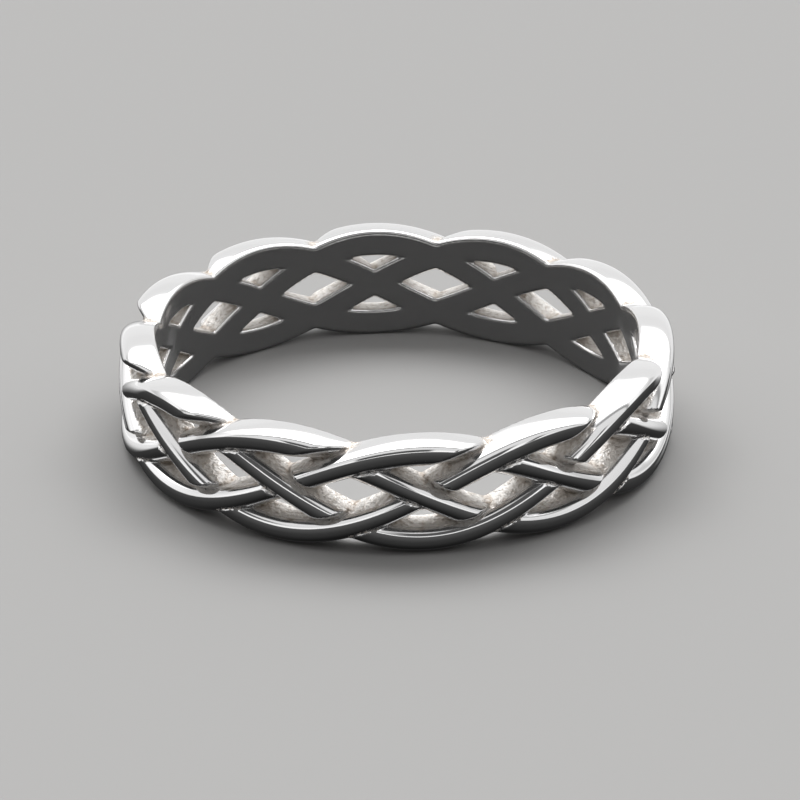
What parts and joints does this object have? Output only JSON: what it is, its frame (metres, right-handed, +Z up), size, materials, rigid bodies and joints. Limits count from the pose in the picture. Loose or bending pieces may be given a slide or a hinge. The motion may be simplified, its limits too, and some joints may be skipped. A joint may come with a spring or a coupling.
{
  "type": "woven band ring",
  "caption": "Finger ring cast in one piece: a flat four-strand plait wrapped round a smooth bore, pierced between the strands.",
  "frame": {"origin": "on the bore's axis, in the plane that the ring lies on", "axes": "+Z up, along the bore's axis; the picture's view is from -Y, with +X to the right"},
  "size_m": [0.02, 0.02, 0.0042],
  "materials": {
    "silver": "mirror-polished outer faces, rims and bore; frosty cast texture with a light brown tarnish in the recesses and gap walls"
  },
  "bodies": {
    "root": {"woven_band": "silver"}
  },
  "joints": []
}
